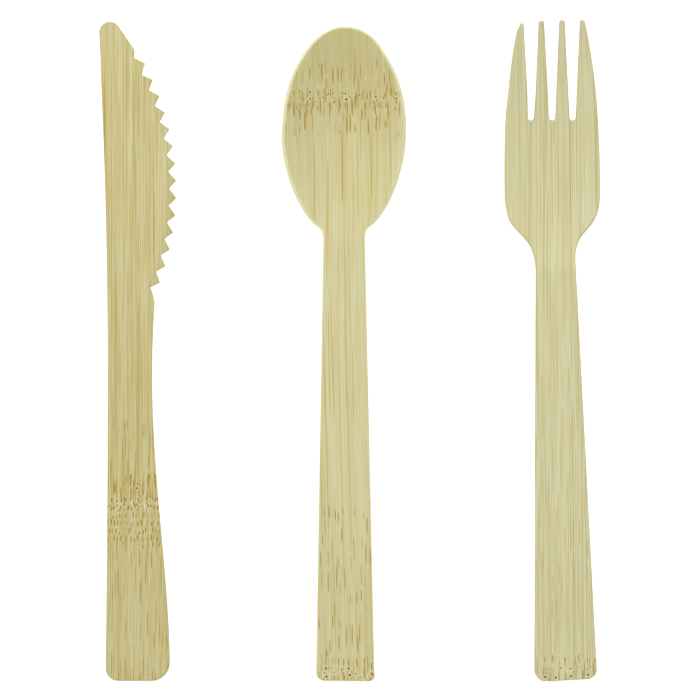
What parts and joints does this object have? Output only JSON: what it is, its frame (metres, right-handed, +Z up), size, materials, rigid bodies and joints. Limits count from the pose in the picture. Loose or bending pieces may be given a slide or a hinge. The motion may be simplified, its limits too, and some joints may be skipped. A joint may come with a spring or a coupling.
{
  "type": "bamboo cutlery set",
  "caption": "Flat pressed bamboo knife, spoon and fork, lying side by side: a toothed knife for cutting, a spoon with a shallow bowl and a fork with tapered tines.",
  "frame": {"origin": "middle of the set's plan, on the table that the pieces lie on", "axes": "+Y along the pieces towards the blade, the bowl and the tines, +X from the knife to the fork, +Z up from the table"},
  "size_m": [0.1292, 0.1704, 0.0074],
  "materials": {
    "knife_bamboo": "plain sanded bamboo",
    "spoon_bamboo": "plain sanded bamboo",
    "fork_bamboo": "plain sanded bamboo"
  },
  "bodies": {
    "root": {"knife": "knife_bamboo", "spoon": "spoon_bamboo", "fork": "fork_bamboo"}
  },
  "joints": []
}
